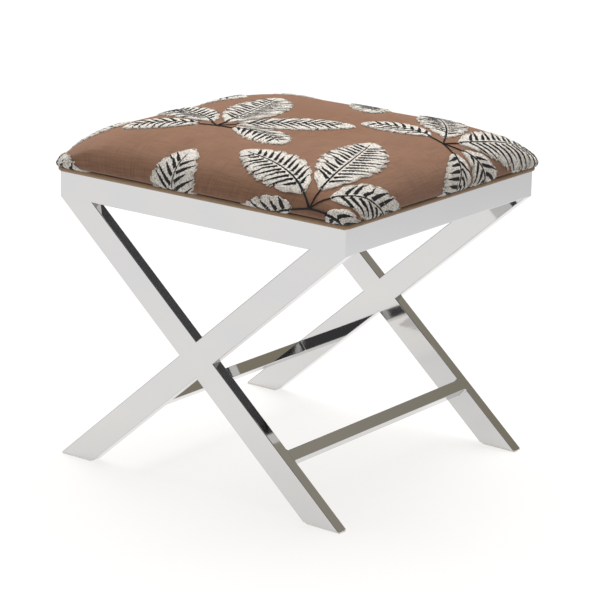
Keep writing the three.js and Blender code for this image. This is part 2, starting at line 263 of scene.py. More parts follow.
def ring_faces(first, rings, count, closed=False):
    """Faces between rings of count points each. closed joins the last ring to the first."""
    faces = []
    for i in range(rings if closed else rings - 1):
        a, b = first + i * count, first + (i + 1) % rings * count
        faces += [(a + j, a + (j + 1) % count, b + (j + 1) % count, b + j) for j in range(count)]
    return faces


class Builder:
    """Gathers points and faces, with a normal at each corner of each face."""

    def __init__(self):
        self.points = []
        self.faces = []
        self.normals = []

    def add(self, corners):
        """A face through (point, normal) pairs."""
        first = len(self.points)
        for point, normal in corners:
            self.points.append(Vector(point))
            self.normals.append(Vector(normal))
        self.faces.append(tuple(range(first, first + len(corners))))

    def strip(self, ring_a, ring_b):
        """Faces between two rings of (point, normal) pairs with equal counts."""
        for i in range(len(ring_a)):
            k = (i + 1) % len(ring_a)
            self.add([ring_a[i], ring_b[i], ring_b[k], ring_a[k]])

    def piece(self, name, material, slot, turned=False):
        sign = -1 if turned else 1
        points, normals = ([Vector((sign * v.x, sign * v.y, v.z)) for v in vectors]
                           for vectors in (self.points, self.normals))
        made = mesh_piece(name, points, self.faces, material, normals)
        weld(made)
        return made


def weld(piece):
    """Joins points that lie on each other: one closed skin, which keeps its own normals."""
    mesh = piece.data
    kept = [tuple(n.vector) for n in mesh.corner_normals]
    edit = bmesh.new()
    edit.from_mesh(mesh)
    order = [loop.index for face in edit.faces for loop in face.loops]
    bmesh.ops.remove_doubles(edit, verts=edit.verts, dist=1e-6)
    whole = len(edit.faces) == len(mesh.polygons)
    if whole:
        edit.to_mesh(mesh)
    edit.free()
    if whole:
        mesh.normals_split_custom_set([kept[i] for i in order])


# Rounded steel

def quarter_turn(steps):
    """Angles from 0 to a quarter turn, in even steps."""
    return [k / steps * math.pi / 2 for k in range(steps + 1)]


def round_corners(half_a, half_b, radius, steps):
    """(a, b, normal a, normal b) round a rectangle's four round corners, anticlockwise."""
    found = []
    for quarter, (sign_a, sign_b) in enumerate(((1, 1), (-1, 1), (-1, -1), (1, -1))):
        for k in range(steps + 1):
            angle = (quarter + k / steps) * math.pi / 2
            na, nb = math.cos(angle), math.sin(angle)
            found.append((sign_a * (half_a - radius) + radius * na,
                          sign_b * (half_b - radius) + radius * nb, na, nb))
    return found


def edge_normals(loop):
    """Unit vectors out of a loop in the X Z plane whose inside is on the left."""
    found = []
    for i, (x, z) in enumerate(loop):
        next_x, next_z = loop[(i + 1) % len(loop)]
        run, rise = next_x - x, next_z - z
        length = math.hypot(run, rise)
        found.append((rise / length, -run / length))
    return found


def inset_loop(loop, insets):
    """The loop with each edge moved inwards by its own distance."""
    outward = edge_normals(loop)
    moved = []
    for i, point in enumerate(loop):
        ax, az = outward[i - 1]
        bx, bz = outward[i]
        a = ax * point[0] + az * point[1] - insets[i - 1]
        b = bx * point[0] + bz * point[1] - insets[i]
        cross = ax * bz - az * bx
        moved.append(((a * bz - b * az) / cross, (ax * b - bx * a) / cross))
    return moved


def x_frame(name, material, turned):
    """A rail and two crossed legs, ground flush: one flat outline with round edges."""
    half_foot = LEG_WIDTH / math.sin(SLOPE)
    fall = math.tan(SLOPE)
    inner_foot = -HALF_WIDTH + (RAIL_BOTTOM - GLIDE_HEIGHT) / fall
    outer_foot = inner_foot + half_foot
    side_height = RAIL_BOTTOM - (HALF_WIDTH - half_foot / 2) * fall
    left = [
        (-HALF_WIDTH, RAIL_TOP),
        (-HALF_WIDTH, RAIL_BOTTOM),
        (-half_foot / 2, side_height),
        (-outer_foot, GLIDE_HEIGHT),
        (-inner_foot, GLIDE_HEIGHT),
    ]
    middle = (0, RAIL_BOTTOM - HALF_WIDTH * fall)
    outer = left + [middle] + [(-x, z) for x, z in reversed(left)]
    hole = [
        (half_foot - HALF_WIDTH, RAIL_BOTTOM),
        (HALF_WIDTH - half_foot, RAIL_BOTTOM),
        (0, RAIL_BOTTOM - (HALF_WIDTH - half_foot) * fall),
    ]
    # The end rails carry on from these edges of the outline, so they stay square behind
    flush = {0, len(outer) - 2}
    front = Vector((0, -1, 0))
    built = Builder()
    caps = {-1: [], 1: []}
    for loop, square in ((outer, flush), (hole, set())):
        outward = [Vector((x, 0, z)) for x, z in edge_normals(loop)]
        rings = []
        for half in (1, -1):
            for angle in quarter_turn(EDGE_STEPS)[::half]:
                inset = EDGE_RADIUS * (1 - math.sin(angle))
                depth = EDGE_RADIUS * (1 - math.cos(angle))
                y = -HALF_DEPTH + depth if half == 1 else -INNER_DEPTH - depth
                insets = [0 if half == -1 and i in square else inset for i in range(len(loop))]
                points = [Vector((x, y, z)) for x, z in inset_loop(loop, insets)]
                normals = [
                    out if half == -1 and i in square
                    else out * math.sin(angle) + front * half * math.cos(angle)
                    for i, out in enumerate(outward)
                ]
                rings.append((points, normals))
        for (points, normals), (next_points, next_normals) in zip(rings, rings[1:]):
            for i in range(len(loop)):
                k = (i + 1) % len(loop)
                built.add([(points[i], normals[i]), (next_points[i], next_normals[i]),
                           (next_points[k], next_normals[i]), (points[k], normals[i])])
        caps[1].append(rings[0][0])
        caps[-1].append(rings[-1][0])
    for half, loops in caps.items():
        normal = front * half
        flat = [p for loop in loops for p in loop]
        for corners in tessellate_polygon(loops):
            a, b, c = (flat[i] for i in corners)
            if (b - a).cross(c - a).dot(normal) < 0:
                b, c = c, b
            built.add([(a, normal), (b, normal), (c, normal)])
    return built.piece(name, material, "polished_steel", turned)


def bar(name, centre, side, up, section, stations, material):
    """A bar along Y. A station is (y, flare, tilt): flare widens the section along `side` only,
    and tilt turns its normals along Y, as in the hollow of a weld."""
    rings = []
    for y, flare, tilt in stations:
        ring = []
        for a, b, na, nb in section:
            place = centre + side * (a + flare * na) + up * b
            place.y = y
            normal = side * na + up * nb
            turn = abs(na) * tilt
            normal = normal * math.cos(turn) + Vector((0, math.copysign(1, -y), 0)) * math.sin(turn)
            ring.append((place, normal))
        rings.append(ring)
    built = Builder()
    for ring, following in zip(rings, rings[1:]):
        built.strip(ring, following)
    built.add([(point, (0, -1, 0)) for point, _ in rings[0]])
    built.add([(point, (0, 1, 0)) for point, _ in reversed(rings[-1])])
    return built.piece(name, material, "polished_steel")


def end_rail(name, hand, material):
    centre = Vector((hand * (HALF_WIDTH - TUBE_THICK / 2), 0, (RAIL_BOTTOM + RAIL_TOP) / 2))
    half_height = (RAIL_TOP - RAIL_BOTTOM) / 2
    section = round_corners(TUBE_THICK / 2, half_height, EDGE_RADIUS, EDGE_STEPS)
    stations = [(-INNER_DEPTH, 0, 0), (INNER_DEPTH, 0, 0)]
    return bar(name, centre, Vector((1, 0, 0)), Vector((0, 0, 1)), section, stations, material)


def stretcher(name, hand, node, material):
    """A square bar whose upper side is flush with the legs' upper edges, with hollow welds."""
    low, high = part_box(node)
    side = Vector((LEG_ALONG.x, 0, hand * LEG_ALONG.z))
    up = Vector((hand * LEG_UP.x, 0, LEG_UP.z))
    half = TUBE_THICK / 2
    section = round_corners(half, half, EDGE_RADIUS, EDGE_STEPS)
    rear = [(INNER_DEPTH + EDGE_RADIUS, WELD_REACH, math.pi / 2)]
    rear += [(INNER_DEPTH - WELD_REACH * (1 - math.cos(angle)),
              WELD_REACH * (1 - math.sin(angle)), math.pi / 2 - angle)
             for angle in quarter_turn(WELD_STEPS)]
    stations = [(-y, flare, tilt) for y, flare, tilt in rear] + rear[::-1]
    return bar(name, (low + high) / 2, side, up, section, stations, material)


# Materials

class Nodes:
    """Short calls for the nodes of a tree."""

    def __init__(self, tree):
        self.tree = tree

    def node(self, kind, settings=None, inputs=None):
        """A node with its settings by name. Its inputs are values or other nodes' outputs."""
        made = self.tree.nodes.new(kind)
        for key, value in (settings or {}).items():
            setattr(made, key, value)
        for key, value in (inputs or {}).items():
            if isinstance(value, bpy.types.NodeSocket):
                self.tree.links.new(value, made.inputs[key])
            else:
                made.inputs[key].default_value = value
        return made

    def place(self, kind="Object"):
        return self.node("ShaderNodeTexCoord").outputs[kind]

    def stretched(self, vector, scale):
        made = self.node("ShaderNodeMapping", inputs={"Vector": vector, "Scale": scale})
        return made.outputs["Vector"]

    def noise(self, vector, scale, detail=2.0):
        made = self.node(
            "ShaderNodeTexNoise", inputs={"Vector": vector, "Scale": scale, "Detail": detail})
        return made.outputs["Fac"]

    def math(self, operation, a, b=0.0):
        made = self.node("ShaderNodeMath", {"operation": operation}, {0: a, 1: b})
        return made.outputs[0]

    def ramp(self, value, low, high, out_low=0.0, out_high=1.0, kind="LINEAR"):
        made = self.node("ShaderNodeMapRange", {"interpolation_type": kind}, {
            "Value": value, "From Min": low, "From Max": high,
            "To Min": out_low, "To Max": out_high})
        return made.outputs["Result"]

    def smooth(self, value, low, high):
        """0 at low, 1 at high, eased at both ends."""
        return self.ramp(value, low, high, kind="SMOOTHSTEP")

    def mix(self, factor, a, b):
        """A mix of two colours, given as linear triples or other nodes' outputs."""
        made = self.node("ShaderNodeMix", {"data_type": "RGBA"}, {0: factor})
        for socket, value in ((made.inputs[6], a), (made.inputs[7], b)):
            if isinstance(value, bpy.types.NodeSocket):
                self.tree.links.new(value, socket)
            else:
                socket.default_value = (*value, 1)
        return made.outputs[2]

    def bump(self, height, distance, strength=1.0, under=None):
        inputs = {"Height": height, "Distance": distance, "Strength": strength}
        if under is not None:
            inputs["Normal"] = under
        return self.node("ShaderNodeBump", inputs=inputs).outputs["Normal"]


class Shader(Nodes):
    """A Principled material."""

    def __init__(self, name, colour, roughness, metallic=0.0):
        self.material = bpy.data.materials.new(name)
        self.material.use_nodes = True
        super().__init__(self.material.node_tree)
        self.principled = self.tree.nodes["Principled BSDF"]
        self.set("Base Color", (*colour, 1))
        self.set("Roughness", roughness)
        self.set("Metallic", metallic)

    def set(self, socket, value):
        self.principled.inputs[socket].default_value = value

    def link(self, source, socket):
        self.tree.links.new(source, self.principled.inputs[socket])


def polished_steel():
    """Mirror polish: nearly even, with faint smears in its roughness and colour."""
    shader = Shader("polished_steel", (0.65, 0.645, 0.64), 0.04, 1.0)
    place = shader.place()
    smears = shader.noise(shader.stretched(place, (1.0, 1.0, 1.6)), 9.0, 3.0)
    shader.link(shader.ramp(smears, 0.35, 0.7, 0.025, 0.065), "Roughness")
    tint = shader.mix(shader.ramp(smears, 0.3, 0.7), (0.637, 0.636, 0.64), (0.662, 0.653, 0.64))
    shader.link(tint, "Base Color")
    wave = shader.noise(place, STEEL_WAVES, 0.0)
    shader.link(shader.bump(wave, STEEL_WAVE_HEIGHT), "Normal")
    return shader.material


def spotted_metal(name, dark, light, scale, detail, smooth, rough):
    """Steel that isn't polished: its colour and roughness vary together."""
    shader = Shader(name, light, smooth, 1.0)
    spots = shader.noise(shader.place(), scale, detail)
    shader.link(shader.mix(spots, dark, light), "Base Color")
    shader.link(shader.ramp(spots, 0.3, 0.7, smooth, rough), "Roughness")
    return shader.material


def pale_nylon():
    shader = Shader("pale_nylon", (0.86, 0.84, 0.81), 0.45)
    place = shader.place()
    clouds = shader.noise(place, 90.0, 3.0)
    shader.link(shader.mix(clouds, (0.84, 0.82, 0.785), (0.90, 0.885, 0.86)), "Base Color")
    shader.link(shader.bump(shader.noise(place, 2200.0), 0.00004, 0.4), "Normal")
    return shader.material


def plywood():
    shader = Shader("plywood", (0.55, 0.37, 0.2), 0.7)
    place = shader.place()
    grain = shader.noise(shader.stretched(place, (3.0, 60.0, 260.0)), 4.0, 6.0)
    shader.link(shader.mix(shader.ramp(grain, 0.3, 0.7), (0.42, 0.27, 0.14), (0.62, 0.44, 0.26)),
                "Base Color")
    shader.link(shader.bump(grain, 0.0002, 0.4), "Normal")
    return shader.material


def woven(name, dark, light, pitch, kind="UV", sheen=0.2):
    """Plain weave with slubs both ways. dark and light are the ends of its colour."""
    shader = Shader(name, light, 0.85)
    shader.set("Sheen Weight", sheen)
    shader.set("Sheen Roughness", 0.45)
    place = shader.place(kind)
    threads = 2 * math.pi / pitch
    split = shader.node("ShaderNodeSeparateXYZ", inputs={0: place})
    across = shader.math("SINE", shader.math("MULTIPLY", split.outputs[0], threads))
    along = shader.math("SINE", shader.math("MULTIPLY", split.outputs[1], threads))
    warp = shader.noise(shader.stretched(place, (1 / pitch, 0.045 / pitch, 1 / pitch)), 0.45, 3.0)
    weft = shader.noise(shader.stretched(place, (0.045 / pitch, 1 / pitch, 1 / pitch)), 0.45, 3.0)
    clouds = shader.noise(place, 14.0, 3.0)
    threadlike = shader.math("ADD", shader.ramp(warp, 0.3, 0.7), shader.ramp(weft, 0.3, 0.7))
    tone = shader.math("MULTIPLY", threadlike, 0.5)
    tone = shader.math("ADD", tone, shader.ramp(clouds, 0.3, 0.7, -0.08, 0.08))
    crossing = shader.math("MULTIPLY", across, along)
    tone = shader.math("ADD", tone, shader.math("MULTIPLY", crossing, 0.10))
    shader.link(shader.mix(tone, dark, light), "Base Color")
    weave = shader.bump(crossing, 0.00012, 0.5)
    shader.link(shader.bump(threadlike, 0.00015, 0.6, weave), "Normal")
    return shader.material


def tufted(name, dark, light, sheen):
    """Looped yarn: small bumps, with painted shade that darkens the colour between the loops."""
    shader = Shader(name, light, 0.9)
    shader.set("Sheen Weight", sheen)
    shader.set("Sheen Roughness", 0.5)
    place = shader.place()
    cells = shader.node("ShaderNodeTexVoronoi", inputs={"Vector": place, "Scale": 1 / LOOP})
    loop = cells.outputs["Distance"]
    fibre = shader.noise(place, 2600.0, 2.0)
    # Painted shade: the colour darkens away from each loop's middle, into the gaps between the
    # loops
    loop_gap_shade = shader.ramp(loop, 0.25, 0.75)
    tone = shader.math("SUBTRACT", 1.0, loop_gap_shade)
    tone = shader.math("ADD", tone, shader.ramp(fibre, 0.3, 0.7, -0.2, 0.2))
    shader.link(shader.mix(tone, dark, light), "Base Color")
    body = shader.bump(shader.math("SUBTRACT", 1.0, loop), 0.0009, 0.8)
    shader.link(shader.bump(fibre, 0.0002, 0.5, body), "Normal")
    return shader.material


# The seat's form

def rounded_ring(half_x, half_y, radius, z):
    """Points round a rectangle with round corners. The sides have even steps."""
    radius = min(radius, half_x * ROUNDEST, half_y * ROUNDEST)
    corners = [Vector((x, y, z))
               for x, y, _, _ in round_corners(half_x, half_y, radius, CORNER_STEPS)]
    points = []
    for first in range(0, len(corners), CORNER_STEPS + 1):
        after = first + CORNER_STEPS + 1
        points += corners[first:after]
        start, end = corners[after - 1], corners[after % len(corners)]
        points += [start.lerp(end, k / SIDE_STEPS) for k in range(1, SIDE_STEPS)]
    return points


def crown_level(angle, reach=BULGE_REACH, top=SEAT_TOP, corner=BULGE_CORNER):
    """(half x, half y, corner radius, z) of the crown, from its widest ring at 0 to its middle."""
    spread = max(math.cos(angle), 0) ** CROWN_SIDE_POWER
    radius = (corner + (CROWN_CORNER - corner) * math.sin(angle)) * spread
    z = BULGE_TOP + (top - BULGE_TOP) * math.sin(angle) ** CROWN_TOP_POWER
    return (HALF_WIDTH + reach) * spread, (HALF_DEPTH + reach) * spread, radius, z


def lip_level(angle, reach=BULGE_REACH, corner=BULGE_CORNER):
    """The same for the lip that rolls out over the welt, from its foot at 0 to the widest ring."""
    share = math.sin(angle)
    out = FOOT_REACH + (reach - FOOT_REACH) * share
    z = LIP_BOTTOM + (BULGE_TOP - LIP_BOTTOM) * (1 - math.cos(angle))
    return HALF_WIDTH + out, HALF_DEPTH + out, FOOT_CORNER + (corner - FOOT_CORNER) * share, z


def closed_loft(name, rings, low, high, material):
    """The cushion's skin through rings, closed by a point at each end."""
    points = [p for ring in rings for p in ring] + [low, high]
    count = len(rings[0])
    faces = ring_faces(0, len(rings), count)
    last = (len(rings) - 1) * count
    for j in range(count):
        k = (j + 1) % count
        faces += [(len(points) - 2, k, j), (last + j, last + k, len(points) - 1)]
    return mesh_piece(name, points, faces, material)


def cushion_rings(reach=BULGE_REACH, top=SEAT_TOP, corner=BULGE_CORNER):
    """The cover's rings from under the deck's edge, up round the lip and over the crown."""
    levels = [(HALF_WIDTH + FOOT_REACH, HALF_DEPTH + FOOT_REACH, FOOT_CORNER, COVER_BOTTOM)]
    levels += [lip_level(angle, reach, corner) for angle in quarter_turn(LIP_STEPS)[:-1]]
    levels += [crown_level(angle, reach, top, corner) for angle in quarter_turn(CROWN_STEPS)[:-1]]
    return [rounded_ring(*level) for level in levels]


def seat_cushion(material):
    """Crowned cover with its lip over the welt, closed underneath where the deck is."""
    rings = cushion_rings()
    middle = Vector((0, 0, SEAT_TOP))
    wrap(rings, middle, swollen_form(material))
    low = Vector((0, 0, COVER_BOTTOM))
    cushion = closed_loft("seat_cushion", rings, low, middle, material)
    for vertex in cushion.data.vertices:
        rise = min(max((vertex.co.z - LIP_BOTTOM) / STUFFING_RISE, 0), 1)
        for x, y, spread, change in STUFFING:
            gap = (vertex.co.x - x) ** 2 + (vertex.co.y - y) ** 2
            vertex.co += change * math.exp(-gap / (2 * spread ** 2)) * rise
    return cushion


def swollen_form(material):
    """The cushion's crown after a cloth simulation, as a tree to look places up in."""
    top = SEAT_TOP - START_DROP
    rings = cushion_rings(BULGE_REACH + START_REACH, top, START_CORNER)
    form = closed_loft(
        "swollen_form", rings, Vector((0, 0, COVER_BOTTOM)), Vector((0, 0, top)), material)
    inflate(form)
    tree = BVHTree.FromObject(form, bpy.context.evaluated_depsgraph_get())
    bpy.data.objects.remove(form)
    return tree


def wrap(rings, middle, tree):
    """Moves the crown's rings onto the swollen form. The lip follows its upper edge by shares."""
    widest = 1 + LIP_STEPS
    shifts = []
    for ring in rings[widest:] + [[middle]]:
        found = [tree.find_nearest(point)[0] - point for point in ring]
        shifts = shifts or found
        for point, shift in zip(ring, found):
            point += shift
    for ring, angle in zip(rings[2:], quarter_turn(LIP_STEPS)[1:-1]):
        for point, shift in zip(ring, shifts):
            point += shift * math.sin(angle)


def apply_modifiers(piece):
    graph = bpy.context.evaluated_depsgraph_get()
    mesh = bpy.data.meshes.new_from_object(piece.evaluated_get(graph))
    piece.modifiers.clear()
    piece.data = mesh


def inflate(cushion):
    """Swells the cushion under pressure as cloth, held at its foot, and caps how far it goes."""
    remesh = cushion.modifiers.new("remesh", "REMESH")
    remesh.mode = "VOXEL"
    remesh.voxel_size = VOXEL
    remesh.use_smooth_shade = True
    apply_modifiers(cushion)
    start = [v.co.copy() for v in cushion.data.vertices]
    held = cushion.vertex_groups.new(name="held")
    for i, place in enumerate(start):
        weight = min(max((BULGE_TOP - place.z) / HOLD_FADE, FOAM_HOLD), 1)
        held.add([i], weight, "REPLACE")
    cloth = cushion.modifiers.new("cloth", "CLOTH")
    for key, value in CLOTH_SETTINGS.items():
        setattr(cloth.settings, key, value)
    cloth.settings.effector_weights.gravity = 0
    cloth.settings.vertex_group_mass = "held"
    cloth.collision_settings.use_collision = False
    cloth.point_cache.frame_start = 1
    cloth.point_cache.frame_end = SIM_FRAMES
    scene = bpy.context.scene
    for number in range(1, SIM_FRAMES + 1):
        scene.frame_set(number)
    apply_modifiers(cushion)
    cushion.vertex_groups.clear()
    for vertex, place in zip(cushion.data.vertices, start):
        moved = vertex.co - place
        if moved.length > SIM_CAP:
            vertex.co = place + moved * (SIM_CAP / moved.length)
    scene.frame_set(1)
    smooth = cushion.modifiers.new("smooth", "SMOOTH")
    smooth.iterations = 3
    finer = cushion.modifiers.new("finer", "SUBSURF")
    finer.levels = 1
    apply_modifiers(cushion)


# The leaves

def cloth_map(piece, places):
    """Gives the piece cloth coordinates, in metres, as its UV map: a place for each vertex."""
    numbers = []
    for loop in piece.data.loops:
        numbers += places[loop.vertex_index]
    piece.data.uv_layers.new(name="cloth").data.foreach_set("uv", numbers)


class Drape:
    """Lays flat cloth over the cushion, smoothed out from the middle of the seat.

    A place on the cloth keeps its direction and its distance from the seat's middle.
    """

    DIRECTIONS = 240
    CROWN_LEVELS = 60
    LIP_LEVELS = 6
    MAP_RINGS = 80

    def __init__(self, cushion):
        levels = [crown_level(math.acos((k / self.CROWN_LEVELS) ** (1 / CROWN_SIDE_POWER)))
                  for k in range(1, self.CROWN_LEVELS + 1)]
        levels += [lip_level((1 - k / self.LIP_LEVELS) * math.pi / 2)
                   for k in range(1, self.LIP_LEVELS + 1)]
        self.lines = []
        for i in range(self.DIRECTIONS + 1):
            angle = 2 * math.pi * i / self.DIRECTIONS
            line = [(0, SEAT_TOP)]
            arcs = [0]
            for half_x, half_y, radius, z in levels:
                reach = self.reach(math.cos(angle), math.sin(angle), half_x, half_y, radius)
                arcs.append(arcs[-1] + math.hypot(reach - line[-1][0], z - line[-1][1]))
                line.append((reach, z))
            self.lines.append((arcs, line))
        self.tree = BVHTree.FromObject(cushion, bpy.context.evaluated_depsgraph_get())

    @staticmethod
    def reach(run, rise, half_x, half_y, radius):
        """How far it is from the middle to a rounded rectangle."""
        run, rise = abs(run), abs(rise)
        if rise * half_x <= (half_y - radius) * run:
            return half_x / run
        if run * half_y <= (half_x - radius) * rise:
            return half_y / rise
        along = run * (half_x - radius) + rise * (half_y - radius)
        square = (half_x - radius) ** 2 + (half_y - radius) ** 2
        return along + math.sqrt(max(along ** 2 - square + radius ** 2, 0))

    def between(self, x, y):
        """The two lines beside a place, and how far it lies from the first to the second."""
        turn = math.atan2(y, x) / (2 * math.pi) % 1 * self.DIRECTIONS
        first = min(int(turn), self.DIRECTIONS - 1)
        return self.lines[first], self.lines[first + 1], turn - first

    def share(self, x, y):
        """0 at the seat's middle, 1 at the cushion's foot."""
        low, high, part = self.between(x, y)
        return math.hypot(x, y) / (low[0][-1] + (high[0][-1] - low[0][-1]) * part)

    def ideal(self, x, y):
        length = math.hypot(x, y)
        if length < 1e-6:
            return Vector((0, 0, SEAT_TOP))
        low, high, part = self.between(x, y)
        reach = z = 0
        for (arcs, line), weight in ((low, 1 - part), (high, part)):
            k = min(max(bisect.bisect_left(arcs, length), 1), len(arcs) - 1)
            step = min((length - arcs[k - 1]) / (arcs[k] - arcs[k - 1]), 1)
            (near_reach, near_z), (far_reach, far_z) = line[k - 1:k + 1]
            reach += (near_reach + (far_reach - near_reach) * step) * weight
            z += (near_z + (far_z - near_z) * step) * weight
        return Vector((x / length * reach, y / length * reach, z))

    def place(self, x, y, height=0.0):
        """The place on the cushion, raised by height."""
        point, normal, _, _ = self.tree.find_nearest(self.ideal(x, y))
        return point + normal * height

    def unwrap(self, piece):
        """Maps the piece by the nearest places on the smooth cushion."""
        rings = self.MAP_RINGS
        flat, points, faces = [], [], []
        for i in range(self.DIRECTIONS):
            angle = 2 * math.pi * i / self.DIRECTIONS
            full = self.lines[i][0][-1]
            for j in range(rings + 1):
                length = full * max(j / rings, 1e-4)
                flat.append(Vector((math.cos(angle) * length, math.sin(angle) * length, 0)))
                points.append(self.ideal(flat[-1].x, flat[-1].y))
        row = rings + 1
        for i in range(self.DIRECTIONS):
            k = (i + 1) % self.DIRECTIONS
            for j in range(rings):
                faces.append((i * row + j, i * row + j + 1, k * row + j + 1))
                faces.append((i * row + j, k * row + j + 1, k * row + j))
        ideal = BVHTree.FromPolygons(points, faces)
        found = []
        for vertex in piece.data.vertices:
            if vertex.normal.z < -0.5:
                found.append((vertex.co.x, vertex.co.y))
                continue
            point, _, index, _ = ideal.find_nearest(vertex.co)
            a, b, c = faces[index]
            place = barycentric_transform(
                point, points[a], points[b], points[c], flat[a], flat[b], flat[c])
            found.append((place.x, place.y))
        cloth_map(piece, found)


class Leaf:
    """A long leaf on the cloth. along is 0 at its foot and 1 at its tip, across -1 to 1."""

    def __init__(self, foot, heading, length, width, bend, seed):
        self.foot = foot
        self.heading = heading
        self.length = length
        self.width = width
        self.bend = bend
        self.seed = seed
        self.lobes = 7 + seed % 3

    def spine(self, along):
        turned = self.heading + self.bend * along
        reach = self.length / self.bend
        x = self.foot[0] + reach * (math.sin(turned) - math.sin(self.heading))
        y = self.foot[1] - reach * (math.cos(turned) - math.cos(self.heading))
        return x, y, turned

    def half_width(self, along, side):
        full = max(math.sin(math.pi * along ** 0.8), 0) ** 0.75
        lobe = (along * self.lobes + (0.5 if side > 0 else 0.1)) % 1
        notch = 1 - 0.20 * max(lobe - 0.55, 0) / 0.45
        rough = 1 + 0.07 * noise.noise(Vector((along * 40, side * 3, self.seed)))
        return self.width / 2 * full * notch * rough

    def flat(self, along, across):
        side = 1 if across >= 0 else -1
        half = self.half_width(along, side)
        slant = min(along + 0.55 * abs(across) * self.half_width(along, 0) / self.length, 1.02)
        x, y, turned = self.spine(slant)
        return x - math.sin(turned) * across * half, y + math.cos(turned) * across * half


class Tufting:
    """Raised yarn laid on the cushion, gathered into one mesh."""

    def __init__(self, drape):
        self.drape = drape
        self.points = []
        self.faces = []
        self.shares = []

    def patch(self, columns, rows, flat, height):
        """A grid of columns by rows. flat and height take shares from 0 to 1 both ways."""
        first = len(self.points)
        for i in range(columns):
            for j in range(rows):
                along, across = i / (columns - 1), j / (rows - 1)
                x, y = flat(along, across)
                share = self.drape.share(x, y)
                self.shares.append(share)
                lift = height(along, across, x, y)
                fade = min(max((DRAPE_LIMIT + DRAPE_OVER - share) / DRAPE_FADE, 0), 1)
                self.points.append(self.drape.place(x, y, lift * fade - ROOT_DEPTH * (1 - fade)))
        for face in grid_faces(first, columns, rows):
            if min(self.shares[k] for k in face) < DRAPE_LIMIT:
                self.faces.append(face)

    def strip(self, stations):
        """A flat strand. A station is (x, y, width, lift), with its place on the cloth."""
        last = len(stations) - 1

        def nearest(along):
            return min(int(along * last + 0.5), last)

        def flat(along, across):
            k = nearest(along)
            x, y, width, _ = stations[k]
            before, after = stations[max(k - 1, 0)], stations[min(k + 1, last)]
            run, rise = after[0] - before[0], after[1] - before[1]
            length = math.hypot(run, rise) or 1
            shift = (across - 0.5) * width
            return x - rise / length * shift, y + run / length * shift

        def height(along, across, x, y):
            return stations[nearest(along)][3] * (1 if 0.1 < across < 0.9 else STRAND_EDGE)

        self.patch(last + 1, 4, flat, height)

    def piece(self, name, material, slot):
        used = sorted({k for face in self.faces for k in face})
        renumber = {old: new for new, old in enumerate(used)}
        points = [self.points[k] for k in used]
        faces = [tuple(renumber[k] for k in face) for face in self.faces]
        mesh_piece(name, points, faces, material)


def loops(x, y, seed=0.0):
    """Height of the yarn's loops at a place on the cloth, about 0 to 1."""
    cell = noise.cell_vector(Vector((x / LOOP, y / LOOP, seed)))
    smooth = noise.noise(Vector((x / LOOP, y / LOOP, seed)))
    return 0.5 + 0.9 * smooth + 0.25 * (cell.x - 0.5)


def lay_pile(ivory, leaf):
    """The leaf's body of upright loops, rounded off at its margin."""
    columns = max(int(leaf.length / LEAF_GRID), 8)
    rows = max(int(leaf.width / LEAF_GRID), 6)

    def flat(along, across):
        return leaf.flat(0.004 + 0.99 * along, 2 * across - 1)

    def height(along, across, x, y):
        edge = 1 - abs(2 * across - 1) ** 10
        tip = min(along / LEAF_END_SHARE, (1 - along) / LEAF_END_SHARE, 1)
        full = max(edge, 0) ** 0.5 * max(tip, 0) ** 0.5
        return full * (PILE + PILE_UNEVEN * (loops(x, y) - 0.5)) - ROOT_DEPTH * (1 - full)

    ivory.patch(columns, rows, flat, height)


def lay_strands(ivory, leaf):
    """Loose ends of yarn round the leaf's margin."""
    count = int(leaf.length / STRAND_PITCH)
    for side in (-1, 1):
        for k in range(count):
            along = 0.03 + 0.95 * (k + 0.5 * (side > 0)) / count
            wild = noise.noise(Vector((along * 90, side * 7, leaf.seed + 0.5)))
            x, y = leaf.flat(along, side * 0.93)
            outer = leaf.flat(min(along + 0.02 + 0.05 * wild, 1), side)
            run, rise = outer[0] - x, outer[1] - y
            length = math.hypot(run, rise) or 1
            reach = (2.6 + 2.2 * wild) * MM
            end_x, end_y = x + run + run / length * reach, y + rise + rise / length * reach
            line = ((x, y), (x + run, y + rise), (end_x, end_y))
            ivory.strip([(*place, *form) for place, form in zip(line, STRAND)])


def lay_veins(black, leaf):
    """The midrib, and veins that slant out of it on both sides."""
    steps = max(int(leaf.length * 0.9 / MIDRIB_STEP), 4)
    stations = []
    for k in range(steps + 1):
        along = 0.02 + 0.90 * k / steps
        x, y, _ = leaf.spine(along)
        jag = noise.noise(Vector((along * 60, leaf.seed, 3)))
        stations.append((x, y, (6.0 - 3.6 * along + 1.8 * jag) * MM,
                         PILE + VEIN_LIFT + VEIN_UNEVEN * loops(x, y, 1)))
    black.strip(stations)
    veins = int(leaf.length / VEIN_PITCH)
    steps = max(int(leaf.width / 2 / VEIN_STEP), 3)
    for side in (-1, 1):
        for k in range(veins):
            along = 0.10 + 0.76 * (k + 0.5 * (side > 0)) / veins
            far = 0.98 if (k + leaf.seed) % 3 else 0.78
            stations = []
            for i in range(steps + 1):
                part = i / steps
                x, y = leaf.flat(along + 0.03 * part, side * (0.10 + (far - 0.10) * part))
                jag = noise.noise(Vector((k * 5.1 + part * 14, side, leaf.seed)))
                shape = 0.45 + 0.9 * math.sin(math.pi * min(part * 0.8 + 0.25, 1)) ** 0.8
                width = max((7.4 * shape + 3.0 * jag) * (1.1 - 0.5 * part), 1.2) * MM
                lift = PILE * (1 - 0.25 * part ** 4) + VEIN_LIFT + VEIN_UNEVEN * loops(x, y, 1)
                stations.append((x, y, width, lift))
            black.strip(stations)


